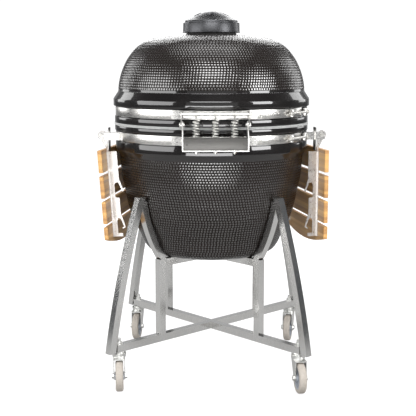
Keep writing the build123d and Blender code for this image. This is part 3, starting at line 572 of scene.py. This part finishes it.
# ---------------------------------------------------------------- bands and clamps
def band(which, middle, body):
    """A strap with rolled ends, an overlapping splice plate and its rivets, and a barrel at each end."""
    half, gap, proud = 0.014, 6.4, STRAP_R + 0.0014
    strap = rounded(
        [(STRAP_INNER, middle - half), (STRAP_R, middle - half), (STRAP_R, middle + half),
         (STRAP_INNER, middle + half)], 0.0008,
    )
    parts = [lathe(strap, 400, start_angle=radians(CLAMP_AT + gap), turn=radians(360 - 2 * gap))]
    bpy.ops.object.mode_set(mode="OBJECT")
    heads = [(STRAP_R + 0.003, at) for at in (-112.8, -108.2, -71.8, -67.6)]
    for low_at, high_at in ((-65.6, -56.6), (-56.2, -49.2)):
        plate = rounded(
            [(STRAP_R, middle - 0.0128), (proud, middle - 0.0128), (proud, middle + 0.0128),
             (STRAP_R, middle + 0.0128)], 0.0005,
        )
        parts.append(lathe(plate, 16, start_angle=radians(low_at), turn=radians(high_at - low_at)))
        bpy.ops.object.mode_set(mode="OBJECT")
        heads += [(STRAP_R + 0.0012, low_at + 2), (STRAP_R + 0.0012, high_at - 2)]
    for out, at in heads:
        parts.append(rivet(around(out, at, middle), around(1, at), 0.0036, 0.0018))
    for at in (CLAMP_AT - gap - 1.7, CLAMP_AT + gap + 1.7):
        barrel = start(
            bpy.ops.mesh.primitive_cylinder_add, vertices=40, radius=0.0078, depth=0.0245,
            location=around(STRAP_R + 0.0072, at, middle),
        )
        ease(0.0014, 3)
        bpy.ops.object.mode_set(mode="OBJECT")
        parts.append(barrel)
    for part in parts:
        pick(part)
        bpy.ops.object.transform_apply(location=True, rotation=True, scale=True)
    piece = join(parts, f"{which}_band_strap")
    finish_piece(piece, f"{which}_band_strap", body, BAND_STEEL)
    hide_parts(f"{which}_band")


def clamp_bolt(which, middle, body):
    """The T-bolt between the barrels: threaded bar, two washers and two hexagon nuts."""
    centre, along = around(STRAP_R + 0.0072, CLAMP_AT, middle), around(1, CLAMP_AT + 90)
    turn = along.to_track_quat("Z", "Y").to_matrix().to_4x4()
    reach = 0.062
    threads = []
    for k in range(round(2 * reach / 0.00125)):
        z = -reach + 0.00125 * k
        threads += [(0.0033, z), (0.0039, z + 0.0006)]
    parts = [lathe([(0.0, -reach), *threads, (0.0, reach)], 18, closed=False)]
    bpy.ops.object.mode_set(mode="OBJECT")
    nut, washer = (6, 0.0072, 0.0062, 0.0585, 0.0006), (32, 0.008, 0.0014, 0.0545, 0.0004)
    for side in (-1, 1):
        for corners, radius, thick, at, edge in (nut, washer):
            cylinder, here = bpy.ops.mesh.primitive_cylinder_add, (0, 0, side * at)
            part = start(cylinder, vertices=corners, radius=radius, depth=thick, location=here)
            ease(edge, 2)
            close()
            parts.append(part)
    piece = join(parts, f"{which}_clamp")
    piece.data.transform(Matrix.Translation(centre) @ turn)
    finish_piece(piece, f"{which}_t_bolt", body, WIRE)
    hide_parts(f"{which}_clamp_bolt")


# ---------------------------------------------------------------- hinge
def springs():
    """Three springs, stretched while the lid is shut, each hooked over the bar and into its adjuster screw's
    eye. They keep their shape as the lid opens, and don't follow the bar's swing outwards."""
    wire, coil, turns, per_turn = 0.0020, 0.0092, 8, 28
    low, high, bar_z, y, hook = 0.806, 0.872, 0.891, -0.380, 0.0063
    pieces = []
    for x in (-0.058, 0.0, 0.058):
        line = [(x, y + hook * cos(pi * k / 12), bar_z + hook * sin(pi * k / 12)) for k in range(13)]
        line += [(x, y - hook, bar_z - 0.001), (x, y - 0.004, bar_z - 0.008), (x, y, high + 0.005)]
        line.append((x + coil * 0.6, y, high + 0.002))
        for k in range(turns * per_turn + 1):
            a = tau * k / per_turn
            line.append((x + coil * cos(a), y + coil * sin(a), high - (high - low) * k / (turns * per_turn)))
        line += [(x + coil * 0.6, y, low - 0.002), (x, y, low - 0.005), (x, y, low - 0.01)]
        pieces.append(tube(f"spring_{len(pieces)}", line, wire, "kettle", WIRE))
    piece = join(pieces, "lift_springs")
    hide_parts("springs")
    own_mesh(piece)


def hinge_cover():
    """A cover plate with folded edges, open at the back, and a blind rivet at each end."""
    half_x, face_y, low, high = 0.0967, -0.398, 0.784, 0.820
    piece = start(bpy.ops.mesh.primitive_cube_add, size=1, location=(0, face_y + 0.007, (low + high) / 2))
    bpy.ops.transform.resize(value=(2 * half_x, 0.014, high - low))
    bpy.ops.mesh.select_all(action="DESELECT")
    bpy.ops.object.mode_set(mode="OBJECT")
    for face in piece.data.polygons:
        face.select = face.normal.y > 0.5
    bpy.ops.object.mode_set(mode="EDIT")
    bpy.ops.mesh.select_mode(type="FACE")
    bpy.ops.mesh.delete(type="FACE")
    bpy.ops.object.mode_set(mode="OBJECT")
    modify(piece, "SOLIDIFY", thickness=0.0018, offset=-1)
    modify(piece, "BEVEL", width=0.0012, segments=3, limit_method="ANGLE", angle_limit=radians(40))
    bpy.ops.object.transform_apply(location=True, rotation=True, scale=True)
    parts = [piece]
    for x in (-0.086, 0.086):
        parts.append(rivet((x, face_y, (low + high) / 2), (0, -1, 0), 0.0032, 0.0014))
    piece = join(parts, "hinge_cover_plate")
    finish_piece(piece, "hinge_cover_plate", "kettle", COVER_STEEL)
    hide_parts("hinge_cover")


# ---------------------------------------------------------------- vent
def vent_cap():
    """The turning cap: brushed rim, raised foot, rolled shoulder, low cone and five oval openings."""
    outside = [
        (0.0925, 1.1425), (0.0960, 1.1425), (0.0960, 1.1448), (0.0948, 1.1456), (0.0942, 1.1725),
        (0.0935, 1.1738), (0.0905, 1.1746), (0.0888, 1.1752), (0.0880, 1.1795), (0.0868, 1.1822),
        (0.0800, 1.1850), (0.0660, 1.1937), (0.0520, 1.2008), (0.0400, 1.2063), (0.0310, 1.2098),
        (0.0270, 1.2108), (0.0, 1.2108),
    ]
    inside = [
        (0.0, 1.208), (0.0061, 1.208), (0.0061, 1.205), (0.029, 1.205), (0.084, 1.1765), (0.0915, 1.1712),
        (0.0925, 1.169),
    ]
    piece = lathe(outside + inside, 160)
    bpy.ops.object.mode_set(mode="OBJECT")
    for hole in range(5):
        bearing = -90 + 72 * hole
        cylinder, at = bpy.ops.mesh.primitive_cylinder_add, around(0.050, bearing, 1.19)
        cutter = start(cylinder, vertices=48, radius=0.0125, depth=0.1, location=at)
        bpy.ops.object.mode_set(mode="OBJECT")
        cutter.scale = (1.0, 1.2, 1.0)
        cutter.rotation_euler = (0, 0, radians(bearing))
        close()
        cut(piece, cutter)
    finish_piece(piece, "vent_cap_turned", "vent", DARK_STEEL, 32)
    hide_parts("vent_cap")


# ---------------------------------------------------------------- casters
def caster_wheel(corner):
    """A soft tread with rounded shoulders on a spoked plastic hub."""
    low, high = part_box(f"caster_tyre_{corner}")
    centre = (Vector(low) + Vector(high)) / 2
    spin = next(joint for joint in frame["joints"] if joint["name"] == f"spin_{corner}")
    turn = Vector(spin["axis"]).to_track_quat("Z", "X").to_matrix().to_4x4()
    place = Matrix.Translation(centre) @ turn
    tread = rounded(
        [(0.037, -0.0125), (0.0445, -0.0125), (0.0498, -0.0085),
         (0.0498, 0.0085), (0.0445, 0.0125), (0.037, 0.0125)], 0.003, 4,
    )
    tyre = lathe(tread, 96)
    bpy.ops.object.mode_set(mode="OBJECT")
    tyre.data.transform(place)
    finish_piece(tyre, f"tyre_tread_{corner}", f"wheel_{corner}", TREAD)
    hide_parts(f"caster_tyre_{corner}")
    section = [
        (0.0051, -0.0155), (0.0125, -0.0155), (0.0132, -0.0145), (0.0138, -0.0065), (0.0290, -0.0052),
        (0.0315, -0.0105), (0.0368, -0.0112), (0.0368, 0.0112), (0.0315, 0.0105), (0.0290, 0.0052),
        (0.0138, 0.0065), (0.0132, 0.0145), (0.0125, 0.0155), (0.0051, 0.0155),
    ]
    hub = lathe(section, 72)
    bpy.ops.object.mode_set(mode="OBJECT")
    ribs = [hub]
    for k in range(6):
        rib = start(bpy.ops.mesh.primitive_cube_add, size=1, location=(0, 0, 0))
        bpy.ops.transform.resize(value=(0.0185, 0.003, 0.019))
        ease(0.0007, 2)
        bpy.ops.object.mode_set(mode="OBJECT")
        rib.data.transform(Matrix.Rotation(tau * k / 6, 4, "Z") @ Matrix.Translation((0.0222, 0, 0)))
        ribs.append(rib)
    hub = join(ribs, f"hub_{corner}")
    hub.data.transform(place)
    finish_piece(hub, f"hub_{corner}", f"wheel_{corner}", HUB)
    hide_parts(f"caster_hub_{corner}")


# ---------------------------------------------------------------- thermometer
def dial_marks():
    """Tick marks round the dial, longer at every third."""
    tilt = radians(17)
    out = Vector((0, cos(tilt), sin(tilt)))
    face = Vector((0, 0.304, 1.004)) + out * 0.01112
    right, up = Vector((-1, 0, 0)), Vector((0, -sin(tilt), cos(tilt)))
    marks = []
    for k in range(28):
        a = radians(225 - 10 * k)
        long = k % 3 == 0
        inner, outer = (0.0235 if long else 0.0265), 0.0305
        mark = start(bpy.ops.mesh.primitive_cube_add, size=1, location=(0, 0, 0))
        bpy.ops.transform.resize(value=(outer - inner, 0.0012 if long else 0.0007, 0.0002))
        ease(0.00005, 1)
        bpy.ops.object.mode_set(mode="OBJECT")
        across = right * cos(a) + up * sin(a)
        along = out.cross(across)
        turn = Matrix((across, along, out)).transposed().to_4x4()
        mark.data.transform(Matrix.Translation(face + across * (inner + outer) / 2) @ turn)
        marks.append(mark)
    piece = join(marks, "dial_ticks")
    finish_piece(piece, "dial_ticks", "lid", INK)


# ---------------------------------------------------------------- what the CAD keeps
def paint_cad():
    """Gives each CAD node that still shows its own finish."""
    finishes = {
        STAND_STEEL: ["rails", "posts", "lower_bar_long", "lower_bar_halves", "upper_bar_long",
                      "upper_bar_halves", *(f"leg_{corner}" for corner in CORNERS)],
        PLATE_STEEL: ["hinge_bracket", "hinge_arms", "handle_arms", "table_brackets", "draft_frame",
                      "draft_door", "thermometer_case"],
        ARM_STEEL: ["left_table_arms", "right_table_arms"],
        WIRE: ["hinge_pins", "spring_bar", "spring_screws", "table_bolts", "cooking_grate", "ember_screen"],
        VENT_SHADE: ["vent_base"],
        CLAY: ["fire_box", "fire_ring"],
        IRON: ["charcoal_grate"],
        ENAMEL: ["thermometer_dial"],
        RED: ["thermometer_needle"],
        LENS: ["thermometer_lens"],
        ZINC: ["caster_stems", *(f"caster_fork_{corner}" for corner in CORNERS)],
        GRIP_BAMBOO: ["handle_grip"],
        SLAT_BAMBOO["right"]: ["right_table_slats"],
        SLAT_BAMBOO["left"]: ["left_table_slats"],
    }
    for finish, names in finishes.items():
        for name in names:
            for socket in nodes[name].material_slots:
                socket.material = finish


# ---------------------------------------------------------------- studio
def studio():
    """A white floor, soft boxes, and a dim room that only mirrors see."""
    circle = bpy.ops.mesh.primitive_circle_add
    floor = start(circle, vertices=96, radius=4.2, fill_type="NGON", location=(0, 0, 0))
    bpy.ops.object.mode_set(mode="OBJECT")
    floor.name = "studio_floor"
    paper = Shader("floor_paper", (0.32, 0.32, 0.32), 0.9)
    paper.set("Emission Color", (1, 1, 1, 1))
    seen = paper.node("ShaderNodeLightPath", output="Is Camera Ray")
    paper.set("Base Color", paper.ramp(seen, (0.24, 0.24, 0.24), (0.3, 0.3, 0.3)))
    distance = paper.node("ShaderNodeVectorMath", {"operation": "LENGTH"}, {0: paper.place()}, "Value")
    paper.set("Emission Strength", seen * paper.spread(distance, 0.56, 0.9, 0.9, 2.4) + 0.22)
    floor.data.materials.append(paper.material)

    world = bpy.data.worlds.new("studio")
    bpy.context.scene.world = world
    world.use_nodes = True
    tree = world.node_tree
    room = tree.nodes["Background"]
    room.inputs["Color"].default_value = (0.9, 0.94, 1.0, 1)
    room.inputs["Strength"].default_value = 0.1
    seen = tree.nodes.new("ShaderNodeBackground")
    seen.inputs["Color"].default_value = (1, 1, 1, 1)
    seen.inputs["Strength"].default_value = 1.1
    path = tree.nodes.new("ShaderNodeLightPath")
    mix = tree.nodes.new("ShaderNodeMixShader")
    tree.links.new(path.outputs["Is Camera Ray"], mix.inputs[0])
    tree.links.new(room.outputs[0], mix.inputs[1])
    tree.links.new(seen.outputs[0], mix.inputs[2])
    tree.links.new(mix.outputs[0], tree.nodes["World Output"].inputs["Surface"])

    # name: place, width and height, power in watts; each faces the grill
    boxes = {
        "right_box": ((2.2, -1.5, 1.5), (1.2, 1.4), 52),
        "left_box": ((-2.4, -1.0, 1.4), (2.4, 1.6), 52),
        "front_box": ((-0.1, -2.5, 2.6), (2.2, 1.2), 66),
        "low_box": ((-0.2, -2.7, 0.3), (2.6, 0.5), 30),
        "front_wall": ((-0.1, -4.6, 1.2), (5.0, 2.4), 14),
        "back_wall": ((0.1, 4.6, 1.2), (5.0, 2.4), 14),
        "far_right": ((2.1, 1.4, 1.5), (0.9, 1.4), 14),
        "far_left": ((-2.1, 1.5, 1.5), (0.9, 1.4), 14),
        "far_back": ((0.1, 2.5, 2.4), (2.0, 1.0), 40),
        "top_box": ((0.0, -0.2, 3.2), (2.2, 1.6), 30),
    }
    for name, (at, (wide, tall), power) in boxes.items():
        lamp = bpy.data.lights.new(name, "AREA")
        lamp.shape, lamp.size, lamp.size_y, lamp.energy = "RECTANGLE", wide, tall, power
        holder = bpy.data.objects.new(name, lamp)
        bpy.context.collection.objects.link(holder)
        holder.location = at
        aim = Vector((0, 0, 0.75)) - Vector(at)
        holder.rotation_euler = aim.to_track_quat("-Z", "Y").to_euler()
    bpy.context.scene.view_settings.view_transform = "Standard"


def camera():
    """Stands off the hinge side at the lid's height, a little to the left, looking slightly down."""
    distance, height, azimuth, heading, pitch = 3.2, 1.05, radians(-1.9), radians(-1.7), radians(8.93)
    lens = bpy.data.cameras.new("camera")
    lens.lens, lens.sensor_width = 81.2, 36.0
    holder = bpy.data.objects.new("camera", lens)
    bpy.context.collection.objects.link(holder)
    holder.location = (distance * sin(azimuth), -distance * cos(azimuth), height)
    aim = Vector((-sin(heading) * cos(pitch), cos(heading) * cos(pitch), -sin(pitch)))
    holder.rotation_euler = aim.to_track_quat("-Z", "Y").to_euler()
    bpy.context.scene.camera = holder


camera()
studio()
paint_cad()
bowl()
dome()
gaskets()
band("upper", 0.885, "lid")
band("lower", 0.804, "kettle")
clamp_bolt("upper", 0.885, "lid")
clamp_bolt("lower", 0.804, "kettle")
springs()
hinge_cover()
vent_cap()
for corner in CORNERS:
    caster_wheel(corner)
dial_marks()
